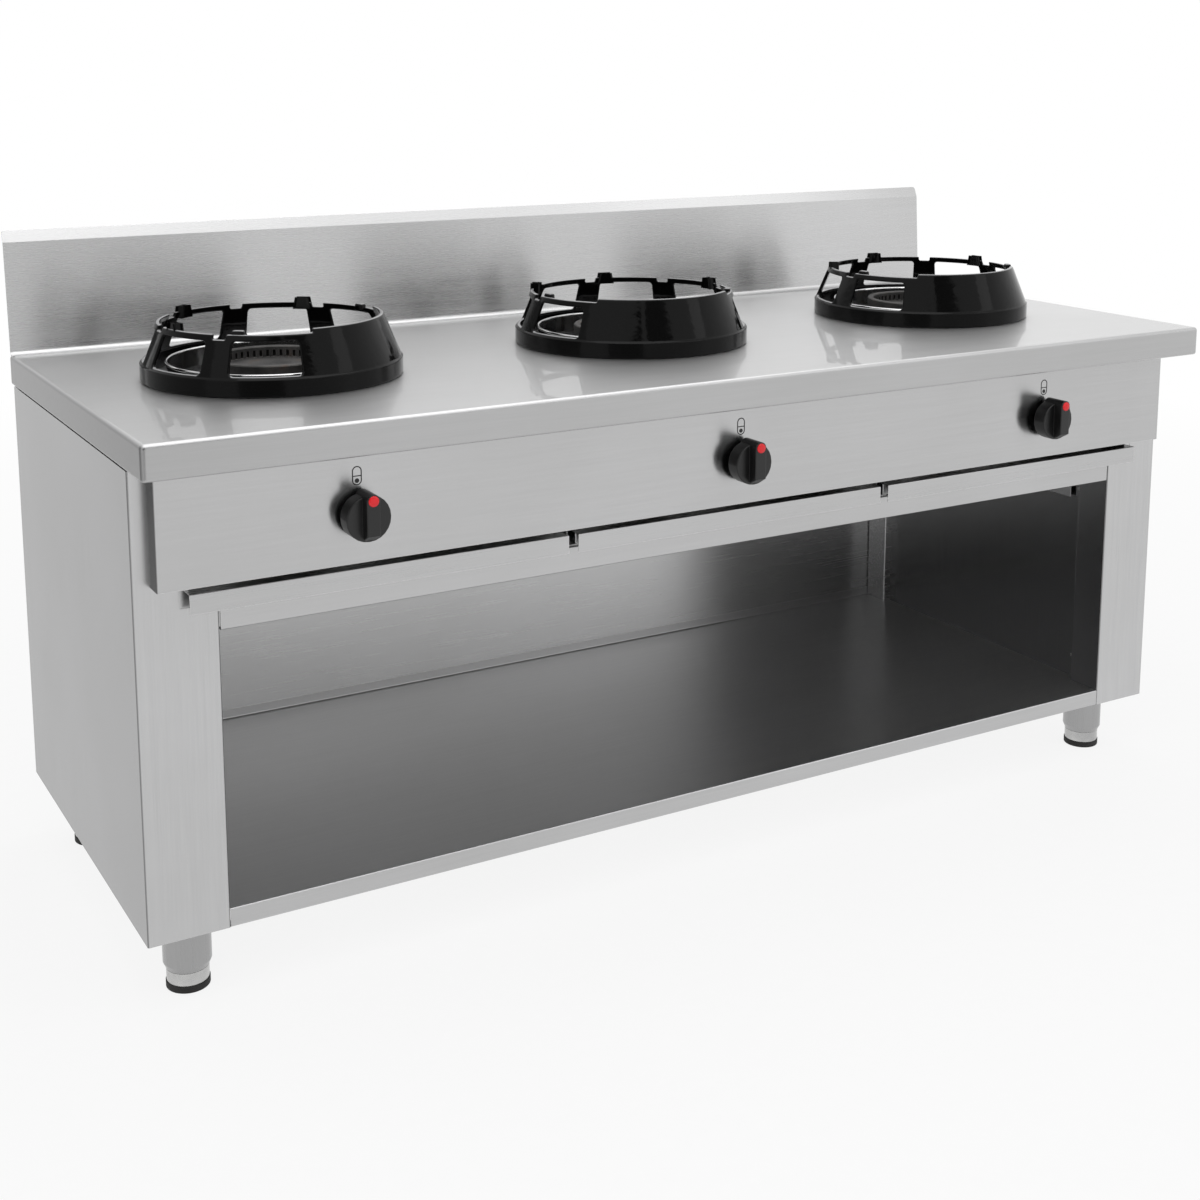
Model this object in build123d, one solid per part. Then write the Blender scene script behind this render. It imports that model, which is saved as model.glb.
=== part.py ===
from build123d import *
import math
import os

# Free-standing gas wok range with three burners on an open cabinet.
# Millimetres. +X runs along the front to the right, +Y to the back, +Z up.
# The origin is on the floor, under the middle of the whole range.

os.makedirs("parts", exist_ok=True)

# ---------------------------------------------------------------- cabinet
overall_width = 1800.0
worktop_height = 779.0        # floor to the worktop's top face
cabinet_depth = 726.0         # worktop's front edge to the back panel's outer face
leg_height = 101.5            # floor to the cabinet's underside
sheet = 1.5                   # stainless sheet of the folded parts
liner_sheet = 1.0
fold_radius = 2.5             # outer radius of an ordinary fold
seat_gap = 0.3                # between a loose piece and what it sits on

# worktop and splashback
worktop_edge = 46.5           # height of the worktop's rolled edge
worktop_top_radius = 6.0
worktop_bottom_radius = 4.0
worktop_corner_radius = 6.5
worktop_return = 15.0         # width of the rolled edge's inward return
splash_height = 190.0
splash_setback = 4.0          # splashback's foot in front of the back panel's outer face
splash_foot = 12.0            # flat strip of the splashback in front of its cove
splash_cove = 8.0
splash_lean = 12.0
band_height = 18.0            # top band of the splashback, bent further back
band_lean = 8.0
splash_corner = 5.0

# side panels and posts
side_inset = 2.75             # worktop's end to the side panel's skin
cabinet_front = 81.0          # worktop's front edge to the posts' front faces
post_width = 109.75
post_return = 65.0            # depth of the post's inner return
liner_recess = 18.5           # liner's face behind the post's inner return
side_top_gap = 2.5            # side panel's top below the worktop's edge
rear_flange = 15.25
rear_post_width = 16.0
rear_post_depth = 54.0

# control panel
panel_inset = 27.0
panel_front = 53.0            # worktop's front edge to the control panel's face
panel_drop = 201.0            # worktop's top to the control panel's bottom
panel_return = 22.0

# drip trays, their guides and the front rail
tray_side_inset = 70.0
tray_lip_gap = 15.5
tray_lip_front = 63.0
tray_lip_height = 26.4
tray_lip_below_panel = 10.6
tray_rear_gap = 43.0          # tray's rear wall to the back panel's outer face
tray_wall_height = 20.0
tray_sheet = 1.2
tray_body_margin = 6.0        # lip's end beyond the tray's side wall
tray_notch_margin = 8.0       # post's notch beyond the lip's end
guide_web_height = 23.0
guide_ledge = 7.0             # how far a guide reaches under a tray
guide_web_offset = 8.5        # outer guide's web beyond the tray's side wall
guide_clear = 2.0
rail_height = 37.0
rail_top_flange = 20.0
rail_bottom_flange = 12.0
rail_end_gap = 2.0
bracket_front = 94.0          # posts' front faces to the outer guide's bracket
bracket_length = 90.0
bracket_drop = 88.0           # the bracket's lower edge below the front rail's top
screw_inset = 14.0            # liner screws behind the liner's front edge
screw_above_shelf = 38.0
screw_below_rail = 71.0
screw_radius = 2.0
screw_length = 8.0

# shelf
shelf_lip = 26.5
shelf_return = 16.0
shelf_upstand = 16.0

# burners
burner_count = 3
burner_end_inset = 296.0      # worktop's end to the outer burner's axis
burner_setback = 8.0         # burners' axes behind the cabinet's half depth
opening_radius = 149.8
collar_height = 24.0
collar_wall = 1.2
collar_bead = 2.2
collar_foot = 10.0
burner_seat_drop = 79.0       # worktop's top to the burner's seat
burner_radius = 80.0
burner_bowl_height = 78.0
burner_wall = 6.0
burner_foot_radius = 35.0
crown_radius = 92.0
crown_inner_radius = 82.0
crown_height = 28.5
crown_wall = 3.0
crown_floor = 12.0
port_count = 52
port_width = 4.5
port_drop = 6.0               # crown's top to its slots
port_height = 9.5
mixer_radius = 20.0
mixer_bore = 15.0
mixer_rise = 28.0             # mixer tube's axis above the burner's seat
mixer_reach = 184.0           # burner's axis to the mixer tube's mouth
strap_width = 60.0
strap_half_span = 172.0
strap_tab = 18.0

# wok stands
stand_base_radius = 187.0
stand_top_radius = 163.5
stand_band_height = 24.0
stand_rail_height = 82.0
stand_wall_height = 87.5
stand_wall = 6.0
stand_notch_depth = 7.0
stand_lug_height = 90.0
stand_lug_foot = 75.5
stand_lug_width = 20.0
stand_lug_outer = 160.0       # axis to the lug's outer face
stand_lug_depth = 11.0
stand_lug_round = 3.0
stand_sector = 45.0           # one post to the next, degrees
stand_arc = 88.5              # solid arc that stands higher, degrees
stand_step_radius = 4.0
window_span = 31.5
window_bottom = 28.0
window_top = 73.0
window_corner = 6.0
notch_span = 7.0
lug_angles = (58.0, 98.0, 171.0, 238.0, 279.0)   # from the middle of the solid arc
stand_turns = (-45.0, -95.5, -88.0)               # direction of each stand's solid arc

# taps and knobs
knob_drop = 134.5             # worktop's top to the knobs' axis
knob_radius = 31.0
knob_gap = 8.0                # knob's back in front of the panel
knob_disc = 24.0
knob_bar_rise = 16.0
knob_bar_width = 19.0
knob_bar_top = 35.5
knob_bar_bottom = 19.5
knob_shell = 4.0
knob_hub_radius = 9.0
dot_radius = 7.2
dot_height = 26.8             # dot's centre above the knob's axis
dot_recess = 1.0
dot_proud = 0.3
spindle_radius = 4.0
spindle_grip = 20.0           # spindle's length inside the knob
spindle_clearance = 0.1
push_travel = 4.0
plug_front_radius = 9.0
plug_rear_radius = 7.0
plug_length = 36.0
plug_clearance = 0.06
tap_half_width = 19.0
tap_nose_radius = 12.0
tap_nose_length = 15.5
tap_front_wall = 6.0
tap_rear_wall = 6.0
tap_spigot_radius = 7.0
tap_port_radius = 4.0

# gas pipework
manifold_radius = 13.45
manifold_wall = 2.3
manifold_from_front = 100.0
manifold_drop = 170.0         # worktop's top to the manifold's axis
manifold_end_inset = 80.0
riser_inset = 40.0            # cabinet's end to the pipe that runs back
pipe_bend = 40.0
thread_radius = 13.22         # three-quarter inch parallel pipe thread
thread_length = 16.0
inlet_reach = 19.0            # threaded end behind the back panel
locknut_radius = 20.0
locknut_width = 3.0
feed_radius = 6.0
feed_bore = 5.0
feed_bend = 15.0
feed_reach = 19.0
injector_radius = 9.0
injector_length = 30.0
injector_bore = 1.6

# pilots and flame sensors
pilot_side = 40.0             # from the burner's middle plane
pilot_front = 92.0            # in front of the burner's axis
pilot_head_radius = 4.5
pilot_tube_radius = 2.0
sensor_radius = 2.2
sensor_lead_radius = 1.2
pilot_strap_thickness = 3.0
lead_bend = 12.0

# legs
leg_inset = 70.0              # leg's axis from the cabinet's side and front
leg_radius = 32.5
leg_wall = 1.5
leg_neck_radius = 28.5
leg_neck_height = 28.0
leg_taper_height = 37.0
nut_radius = 14.0
nut_length = 46.0
foot_radius = 28.5
pad_radius = 29.5
pad_height = 10.0
foot_rod_radius = 8.0
foot_rod_clearance = 0.06
foot_rod_end = 98.0

# ---------------------------------------------------------------- derived places
half_width = overall_width / 2
overall_depth = cabinet_depth + inlet_reach
splash_front = cabinet_depth - splash_setback
burner_from_front = cabinet_depth / 2 + burner_setback
burner_pitch = (overall_width - 2 * burner_end_inset) / (burner_count - 1)
tray_depth = cabinet_depth - tray_rear_gap - cabinet_front - guide_clear
worktop_under = worktop_height - sheet
edge_bottom = worktop_height - worktop_edge
side_top = edge_bottom - side_top_gap
cabinet_half = half_width - side_inset
post_inner = cabinet_half - post_width
liner_face = post_inner + liner_recess
panel_bottom = worktop_height - panel_drop
lip_top = panel_bottom - tray_lip_below_panel
tray_floor = lip_top - tray_wall_height
guide_top = tray_floor - seat_gap
rail_top = guide_top - sheet
shelf_top = leg_height + shelf_lip
burner_seat = worktop_height - burner_seat_drop
mixer_height = burner_seat + mixer_rise
knob_height = worktop_height - knob_drop
manifold_height = worktop_height - manifold_drop
tap_front = panel_front + sheet
tap_body_front = tap_front + tap_nose_length
plug_front = tap_body_front + tap_front_wall
plug_rear = plug_front + plug_length
tap_rear = plug_rear + tap_rear_wall
lip_width = (overall_width - 2 * tray_side_inset - 2 * tray_lip_gap) / burner_count
tray_pitch = lip_width + tray_lip_gap
tray_half = lip_width / 2 - tray_body_margin
notch_half = half_width - tray_side_inset + tray_notch_margin
foot_top = leg_neck_height - seat_gap
side_names = ("left", "middle", "right")


def y_at(distance):
    """The Y of a place at this distance behind the worktop's front edge."""
    return distance - overall_depth / 2


burner_y = y_at(burner_from_front)
screw_y = y_at(cabinet_front + post_return + screw_inset)
screw_places = [(screw_y, shelf_top + screw_above_shelf), (screw_y, rail_top - screw_below_rail)]
burner_x = [(i - (burner_count - 1) / 2) * burner_pitch for i in range(burner_count)]
tray_x = [(i - (burner_count - 1) / 2) * tray_pitch for i in range(burner_count)]


# ---------------------------------------------------------------- helpers
def block(x0, x1, y0, y1, z0, z1):
    """A box between two corners."""
    middle = Pos((x0 + x1) / 2, (y0 + y1) / 2, (z0 + z1) / 2)
    return middle * Box(x1 - x0, y1 - y0, z1 - z0)


def rod(start, end, radius):
    """A round bar from one point to another."""
    run = Vector(*end) - Vector(*start)
    base = Align.MIN
    bar = Cylinder(radius, run.length, align=(Align.CENTER, Align.CENTER, base))
    return Plane(origin=start, z_dir=run) * bar


def folded(points, radii, thickness):
    """The cross-section of a folded sheet with one face on the line through the points.

    The metal is on the line's right, or on its left when the thickness is negative.
    """
    if not isinstance(radii, list):
        radii = [radii] * (len(points) - 2)
    runs = [Vector(*b) - Vector(*a) for a, b in zip(points, points[1:])]
    normals = [Vector(run.Y, -run.X).normalized() for run in runs]
    shifts = [normals[0]]
    far_radii = []
    for one, two, run, radius in zip(normals, normals[1:], runs, radii):
        shifts.append((one + two) * (1 / (1 + one.dot(two))))
        turns_left = run.dot(two) > 0
        far_radii.append(radius + thickness if turns_left else radius - thickness)
    shifts.append(normals[-1])
    far = [Vector(*point) + shift * thickness for point, shift in zip(points, shifts)]
    near_line = FilletPolyline(*points, radius=radii)
    far_line = FilletPolyline(*far, radius=far_radii)
    ends = [Line(near_line @ 0, far_line @ 0), Line(near_line @ 1, far_line @ 1)]
    return make_face([near_line, far_line, *ends])


def along_x(section, x0, x1):
    """Extrude a (Y, Z) section between two X places."""
    return extrude(Plane.YZ.offset(x0) * section, amount=x1 - x0)


def along_y(section, y0, y1):
    """Extrude an (X, Z) section between two Y places."""
    return extrude(Plane.XZ.offset(-y1) * section, amount=y1 - y0)


def turned(points, x, y, z):
    """Revolve (radius, height) points about a vertical axis at the place."""
    section = make_face(Polyline(*points, close=True))
    return Pos(x, y, z) * revolve(Plane.XZ * section, axis=Axis.Z)


def turned_along_y(points, x, z):
    """Revolve (radius, y) points about an axis that runs along Y."""
    section = make_face(Polyline(*points, close=True))
    return Pos(x, 0, z) * revolve(section, axis=Axis.Y)


def tube(points, radius, bore, bend):
    """A round tube along a bent centre line."""
    path = FilletPolyline(*points, radius=bend)
    ring = Circle(radius) - Circle(bore) if bore > 0 else Circle(radius)
    return sweep(Plane(origin=path @ 0, z_dir=path % 0) * ring, path=path)


def both_sides(piece):
    """The piece and its mirror image about the middle of the range."""
    return [piece, mirror(piece, about=Plane.YZ)]


def write(node, solids):
    """Write one sub-part, as one solid or as a group of separate solids."""
    group = solids if isinstance(solids, list) else [solids]
    pieces = [solid for shape in group for solid in shape.solids()]
    shape = pieces[0] if len(pieces) == 1 else Compound(children=pieces)
    export_step(shape, f"parts/{node}.step")


# ---------------------------------------------------------------- worktop
def rolled_tray(inset):
    """The worktop's outer form, or its inner form when inset by the sheet."""
    rear = y_at(cabinet_depth) + inset
    form = block(-half_width + inset, half_width - inset, y_at(0) + inset, rear,
                 edge_bottom + inset, worktop_height - inset)
    form = fillet(form.edges().filter_by(Axis.Z).group_by(Axis.Y)[0],
                  worktop_corner_radius - inset)
    top = form.faces().sort_by(Axis.Z)[-1].edges().sort_by(Axis.Y)[:-1]
    form = fillet(top, worktop_top_radius - inset)
    bottom = form.faces().sort_by(Axis.Z)[0].edges().sort_by(Axis.Y)[:-1]
    return fillet(bottom, worktop_bottom_radius - inset)


def make_worktop():
    form = rolled_tray(0) - rolled_tray(sheet)
    mouth = block(-half_width + worktop_return, half_width - worktop_return,
                  y_at(worktop_return), y_at(cabinet_depth) + sheet,
                  edge_bottom - sheet, edge_bottom + 2 * sheet)
    splash_end = half_width - worktop_top_radius
    splash_seat = block(-splash_end, splash_end, y_at(splash_front - splash_foot),
                        y_at(cabinet_depth) + sheet, worktop_under, worktop_height + sheet)
    form = form - mouth - splash_seat
    for x in burner_x:
        form -= rod((x, burner_y, edge_bottom), (x, burner_y, worktop_height + sheet),
                    opening_radius)
    return form


def make_splashback():
    foot_y = y_at(splash_front)
    top_z = worktop_height + splash_height
    lean_y = foot_y + splash_lean
    corners = [(foot_y - splash_foot, worktop_height), (foot_y, worktop_height),
               (lean_y, top_z - band_height), (lean_y + band_lean, top_z)]
    form = along_x(folded(corners, [splash_cove, fold_radius], sheet), -half_width, half_width)
    outline = Pos(0, top_z / 2) * RectangleRounded(overall_width, top_z, splash_corner)
    form &= along_y(outline, y_at(0), y_at(overall_depth))
    corner = block(-half_width, -half_width + worktop_top_radius, y_at(0), y_at(overall_depth),
                   0, worktop_height)
    for piece in both_sides(corner):
        form -= piece
    return form


def make_collar(x):
    wall = opening_radius
    foot = collar_wall
    points = [(wall - collar_wall, -sheet), (wall, -sheet), (wall, 0), (wall + collar_foot, 0),
              (wall + collar_foot, foot), (wall, foot), (wall, collar_height),
              (wall - collar_wall, collar_height)]
    ring = turned(points, x, burner_y, worktop_height)
    bead_z = worktop_height + collar_height
    bead_at = Pos(x, burner_y, bead_z)
    bead = bead_at * Torus(wall - collar_wall / 2 + collar_bead / 2, collar_bead)
    return ring + bead


# ---------------------------------------------------------------- cabinet
def make_side_panel():
    outer = -cabinet_half
    inner = -post_inner
    tail_y = y_at(cabinet_front + post_return)
    corners = [(outer + rear_flange, y_at(cabinet_depth)), (outer, y_at(cabinet_depth)),
               (outer, y_at(cabinet_front)), (inner, y_at(cabinet_front)),
               (inner, tail_y), (-liner_face - liner_sheet, tail_y)]
    section = folded(corners, fold_radius, -sheet)
    form = Pos(0, 0, leg_height) * extrude(section, amount=side_top - leg_height)
    notch = block(-notch_half, inner + post_width, y_at(panel_front), tail_y + sheet,
                  rail_top, side_top + sheet)
    floor = block(outer + sheet, inner - sheet, y_at(cabinet_front) + sheet,
                  y_at(cabinet_depth) - sheet, leg_height, leg_height + sheet)
    return form - notch + floor


def make_side_liner():
    form = block(-liner_face - liner_sheet, -liner_face, y_at(cabinet_front + post_return),
                 y_at(cabinet_depth) - sheet, leg_height + sheet, rail_top)
    for y, z in screw_places:
        form -= rod((-liner_face - liner_sheet, y, z), (-liner_face, y, z), screw_radius)
    return form


def make_rear_post():
    outer = -liner_face
    front_y = y_at(cabinet_depth) - sheet - rear_post_depth
    rear_y = y_at(cabinet_depth) - 2 * sheet
    corners = [(outer, front_y), (outer + rear_post_width, front_y),
               (outer + rear_post_width, rear_y), (outer, rear_y)]
    section = folded(corners, fold_radius, -sheet)
    return Pos(0, 0, shelf_top) * extrude(section, amount=rail_top - shelf_top)


def make_back_panel():
    half = cabinet_half - rear_flange - seat_gap
    form = block(-half, half, y_at(cabinet_depth) - sheet, y_at(cabinet_depth),
                 leg_height, worktop_under)
    x = cabinet_half - riser_inset
    return form - rod((x, y_at(cabinet_depth - 2 * sheet), manifold_height),
                      (x, y_at(cabinet_depth + sheet), manifold_height),
                      manifold_radius + seat_gap)


def make_shelf():
    rear_y = y_at(cabinet_depth) - 2 * sheet
    front_y = y_at(cabinet_front)
    corners = [(front_y + shelf_return, leg_height), (front_y, leg_height),
               (front_y, shelf_top), (rear_y, shelf_top), (rear_y, shelf_top + shelf_upstand)]
    form = along_x(folded(corners, fold_radius, sheet), -liner_face, liner_face)
    corner = block(-liner_face, -post_inner + seat_gap, front_y - sheet,
                   y_at(cabinet_front + post_return) + seat_gap, 0, worktop_height)
    for piece in both_sides(corner):
        form -= piece
    behind_post = block(-liner_face, -liner_face + rear_post_width, rear_y - fold_radius,
                        y_at(cabinet_depth), shelf_top, worktop_height)
    for piece in both_sides(behind_post):
        form -= piece
    return form


def make_front_rail():
    front_y = y_at(cabinet_front)
    bottom = rail_top - rail_height
    corners = [(front_y + rail_top_flange, rail_top), (front_y, rail_top),
               (front_y, bottom), (front_y + rail_bottom_flange, bottom)]
    half = post_inner - rail_end_gap
    return along_x(folded(corners, fold_radius, -sheet), -half, half)


def make_rear_rails():
    rear_y = y_at(cabinet_depth) - sheet
    low_half = liner_face - rear_post_width
    low = [(rear_y - rail_top_flange, rail_top), (rear_y, rail_top),
           (rear_y, rail_top - rail_height), (rear_y - rail_bottom_flange, rail_top - rail_height)]
    lower = along_x(folded(low, fold_radius, sheet), -low_half, low_half)
    high_half = cabinet_half - rear_flange - seat_gap
    high = [(rear_y - 2 * rail_top_flange, worktop_under), (rear_y, worktop_under),
            (rear_y, worktop_under - rail_height),
            (rear_y - rail_bottom_flange, worktop_under - rail_height)]
    upper = along_x(folded(high, fold_radius, sheet), -high_half, high_half)
    return [lower, upper]


def make_control_panel():
    front_y = y_at(panel_front)
    rear_y = y_at(cabinet_front)
    half = half_width - panel_inset
    face = block(-half, half, front_y, front_y + sheet, panel_bottom, worktop_under)
    ends = both_sides(block(-half, -half + sheet, front_y, rear_y, panel_bottom, worktop_under))
    flange = block(-half, half, front_y, front_y + panel_return, panel_bottom,
                   panel_bottom + sheet)
    form = face + ends + flange
    form = fillet(form.edges().filter_by(Axis.Z).group_by(Axis.Y)[0], fold_radius * 0.6)
    for x in burner_x:
        form -= rod((x, front_y - sheet, knob_height), (x, front_y + 2 * sheet, knob_height),
                    spindle_radius + 2)
    return form


def make_tray_guides():
    front = y_at(cabinet_front) + guide_clear
    rear = y_at(cabinet_depth) - sheet
    web_top = rail_top + guide_web_height
    outer_web = -(tray_pitch + tray_half + guide_web_offset)
    outer_ledge = -(tray_pitch + tray_half) + guide_ledge
    ledge_end = max(outer_ledge, -liner_face + rear_post_width / 2)
    stop_y = front + tray_depth + seat_gap
    ledge = block(outer_web, ledge_end, front, rear, rail_top, guide_top)
    web = block(outer_web, outer_web + sheet, front, rear, guide_top, web_top)
    stop = block(outer_web, ledge_end, stop_y, stop_y + sheet, guide_top, web_top)
    bracket_y = y_at(cabinet_front + bracket_front)
    bracket = block(ledge_end - sheet, ledge_end, bracket_y, bracket_y + bracket_length,
                    rail_top - bracket_drop, rail_top)
    guides = both_sides(ledge + web + stop + bracket)
    between = tray_pitch / 2
    half_ledge = between - tray_half + guide_ledge
    middle = block(-between - half_ledge, -between + half_ledge, front, rear, rail_top, guide_top)
    middle += block(-between - sheet / 2, -between + sheet / 2, front, rear, guide_top, web_top)
    middle += block(-between - half_ledge, -between + half_ledge, stop_y, stop_y + sheet,
                    guide_top, web_top)
    return guides + both_sides(middle)


def make_liner_screws():
    screws = []
    for y, z in screw_places:
        shank = rod((-liner_face - screw_length, y, z), (-liner_face, y, z), screw_radius)
        head = rod((-liner_face, y, z), (-liner_face + screw_radius, y, z), 2 * screw_radius)
        head = fillet(head.edges().sort_by(Axis.X)[-1], screw_radius * 0.6)
        screws += both_sides(shank + head)
    return screws


# ---------------------------------------------------------------- drip trays
def make_drip_tray(x):
    lip_y = y_at(tray_lip_front)
    front_y = y_at(cabinet_front) + guide_clear
    form = block(x - tray_half, x + tray_half, front_y, front_y + tray_depth,
                 tray_floor, lip_top)
    form = fillet(form.edges().filter_by(Axis.Z), fold_radius)
    inner = block(x - tray_half + tray_sheet, x + tray_half - tray_sheet,
                  front_y + tray_sheet, front_y + tray_depth - tray_sheet,
                  tray_floor + tray_sheet, lip_top + tray_sheet)
    inner = fillet(inner.edges().filter_by(Axis.Z), fold_radius - tray_sheet)
    form -= inner
    corners = [(front_y + tray_sheet, lip_top), (lip_y, lip_top), (lip_y, lip_top - tray_lip_height)]
    lip = folded(corners, fold_radius * 0.7, -tray_sheet)
    return form + along_x(lip, x - lip_width / 2, x + lip_width / 2)


# ---------------------------------------------------------------- burners
def make_burner_body(x):
    top = burner_bowl_height
    points = [(0, 0), (burner_foot_radius, 0), (burner_foot_radius, burner_wall),
              (burner_radius, top / 2), (burner_radius, top), (burner_radius - burner_wall, top),
              (burner_radius - burner_wall, top / 2 + burner_wall),
              (burner_foot_radius - burner_wall, 2 * burner_wall), (0, 2 * burner_wall)]
    bowl = turned(points, x, burner_y, burner_seat)
    mouth = (x, burner_y - mixer_reach, mixer_height)
    root = (x, burner_y - burner_radius * 0.6, mixer_height)
    flare = Plane(origin=mouth, z_dir=(0, 1, 0)) * Cone(mixer_radius + 4, mixer_radius, 20,
                                                       align=(Align.CENTER, Align.CENTER,
                                                              Align.MIN))
    body = bowl + rod(mouth, root, mixer_radius) + flare
    return body - rod(mouth, root, mixer_bore)


def make_burner_crown(x):
    """An open ring on a closed floor, slotted through its inner wall."""
    seat = burner_seat + burner_bowl_height
    top, floor, wall = crown_height, crown_floor, crown_wall
    points = [(0, 0), (burner_radius, 0), (crown_radius, floor - 4), (crown_radius, top - 1.5),
              (crown_radius - 1.5, top), (crown_inner_radius + 1.5, top),
              (crown_inner_radius, top - 1.5), (crown_inner_radius, floor), (0, floor)]
    crown = turned(points, x, burner_y, seat)
    outer, inner = crown_radius - wall, crown_inner_radius + wall
    mouth = burner_radius - burner_wall
    chamber = [(0, 0), (mouth, 0), (outer, floor - 2), (outer, top - wall - 1),
               (inner, top - wall - 1), (inner, floor - 1), (inner - 4, floor - wall - 1),
               (0, floor - wall - 1)]
    crown -= turned(chamber, x, burner_y, seat)
    slot = block(crown_inner_radius - 2, inner + 0.5, -port_width / 2, port_width / 2,
                 seat + top - port_drop - port_height, seat + top - port_drop)
    crown -= [Pos(x, burner_y, 0) * Rot(0, 0, 360 / port_count * i) * slot
              for i in range(port_count)]
    return crown


def make_burner_brackets():
    straps = []
    for x in burner_x:
        corners = [(x - strap_half_span - strap_tab, worktop_under),
                   (x - strap_half_span, worktop_under), (x - strap_half_span, burner_seat),
                   (x + strap_half_span, burner_seat), (x + strap_half_span, worktop_under),
                   (x + strap_half_span + strap_tab, worktop_under)]
        section = folded(corners, fold_radius, sheet)
        straps.append(along_y(section, burner_y - strap_width / 2, burner_y + strap_width / 2))
    return straps


def make_wok_stand(x, turn):
    """A ring with one solid quarter and windows all round the rest, at turn 0 facing +X."""
    slope = (stand_base_radius - stand_top_radius) / (stand_rail_height - stand_band_height)
    step = 2.5
    top = stand_wall_height
    top_radius = stand_base_radius - step - slope * (top - stand_band_height - step)
    outer = [(stand_base_radius, 0), (stand_base_radius, stand_band_height),
             (stand_base_radius - step, stand_band_height + step), (top_radius, top)]
    inner = [(radius - stand_wall, z) for radius, z in reversed(outer)]
    form = turned(outer + inner, 0, 0, 0)

    def sector(z0, z1, middle, span):
        low = stand_top_radius * 0.7
        high = stand_base_radius + stand_wall
        face = make_face(Polyline((low, z0), (high, z0), (high, z1), (low, z1), close=True))
        wedge = revolve(Plane.XZ * face, axis=Axis.Z, revolution_arc=span)
        return Rot(0, 0, middle - span / 2) * wedge

    def radial_edges(wedge, z):
        return [e for e in wedge.edges().filter_by(GeomType.LINE) if abs(e.center().Z - z) < 0.01]

    first = stand_sector * 1.5
    window_angles = [first + stand_sector * i for i in range(6)]
    above_rail = sector(stand_rail_height, top + 1, 180, 360 - stand_arc)
    above_rail = fillet(radial_edges(above_rail, stand_rail_height), stand_step_radius)
    form -= above_rail
    for angle in window_angles:
        window = sector(window_bottom, window_top, angle, window_span)
        corners = radial_edges(window, window_bottom) + radial_edges(window, window_top)
        form -= fillet(corners, window_corner)
    for angle in [first - stand_sector / 2 + stand_sector * i for i in range(1, 6)]:
        form -= sector(stand_rail_height - stand_notch_depth, top + 1, angle, notch_span)
    lug = block(stand_lug_outer - stand_lug_depth, stand_lug_outer, -stand_lug_width / 2,
                stand_lug_width / 2, stand_lug_foot, stand_lug_height)
    top_edges = lug.faces().sort_by(Axis.Z)[-1].edges()
    lug = fillet(lug.edges().filter_by(Axis.Z) + top_edges, stand_lug_round)
    for angle in lug_angles:
        form += Rot(0, 0, angle) * lug
    return Pos(x, burner_y, worktop_height + seat_gap) * Rot(0, 0, turn) * form


# ---------------------------------------------------------------- gas train
def make_tap(x):
    y0, y1, y2 = y_at(tap_front), y_at(tap_body_front), y_at(tap_rear)
    nose = rod((x, y0, knob_height), (x, y1, knob_height), tap_nose_radius)
    body = block(x - tap_half_width, x + tap_half_width, y1, y2,
                 knob_height - tap_half_width, knob_height + tap_half_width)
    spigot_y = y_at(manifold_from_front)
    spigot_end = manifold_height + manifold_radius * 0.6
    spigot = rod((x, spigot_y, spigot_end), (x, spigot_y, knob_height - tap_half_width),
                 tap_spigot_radius)
    form = nose + body + spigot
    a, b = y_at(plug_front) - plug_clearance, y_at(plug_rear) + plug_clearance
    form -= turned_along_y([(0, a), (plug_front_radius + plug_clearance, a),
                            (plug_rear_radius + plug_clearance, b), (0, b)], x, knob_height)
    form -= rod((x, y0, knob_height), (x, y_at(plug_front), knob_height),
                spindle_radius + spindle_clearance)
    form -= rod((x, y_at(plug_rear), knob_height), (x, y2, knob_height), tap_port_radius)
    return form - rod((x, spigot_y, spigot_end), (x, spigot_y, knob_height - plug_front_radius),
                      tap_port_radius)


def make_plug(x):
    a, b = y_at(plug_front), y_at(plug_rear)
    plug = turned_along_y([(0, a), (plug_front_radius, a), (plug_rear_radius, b), (0, b)],
                          x, knob_height)
    plug -= rod((x, a, knob_height), (x, a + plug_length / 2, knob_height),
                spindle_radius + spindle_clearance)
    port_y = y_at(manifold_from_front)
    plug -= rod((x, port_y, knob_height - plug_front_radius), (x, port_y, knob_height),
                tap_port_radius / 2)
    return plug - rod((x, port_y, knob_height), (x, b, knob_height), tap_port_radius / 2)


def make_spindle(x):
    front = y_at(panel_front - knob_gap - spindle_grip)
    rear = y_at(plug_front) + plug_length / 2 - push_travel - 2
    return rod((x, front, knob_height), (x, rear, knob_height), spindle_radius)


def make_knob(x):
    back = y_at(panel_front - knob_gap)
    disc_front = back - knob_disc
    bar_front = disc_front - knob_bar_rise
    disc = rod((x, back, knob_height), (x, disc_front, knob_height), knob_radius)
    disc = fillet(disc.edges().sort_by(Axis.Y)[0], fold_radius * 0.6)
    z = knob_height
    half = knob_bar_width / 2
    bar_foot = math.sqrt(knob_radius ** 2 - half ** 2)
    outline = [(back, z + knob_bar_top), (bar_front, z + knob_bar_top),
               (bar_front, z - knob_bar_bottom), (disc_front, z - bar_foot),
               (back, z - bar_foot)]
    bar = along_x(make_face(Polyline(*outline, close=True)), x - half, x + half)
    bar = fillet(bar.faces().sort_by(Axis.Y)[0].edges(), fold_radius * 0.8)
    form = disc + bar
    cavity = rod((x, back, z), (x, back - knob_disc + knob_shell, z), knob_radius - knob_shell)
    hub = rod((x, back, z), (x, back - knob_disc + knob_shell, z), knob_hub_radius)
    form -= cavity - hub
    form -= rod((x, back, z), (x, back - spindle_grip, z), spindle_radius)
    return form - rod((x, bar_front, z + dot_height), (x, bar_front + dot_recess, z + dot_height),
                      dot_radius)


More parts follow.
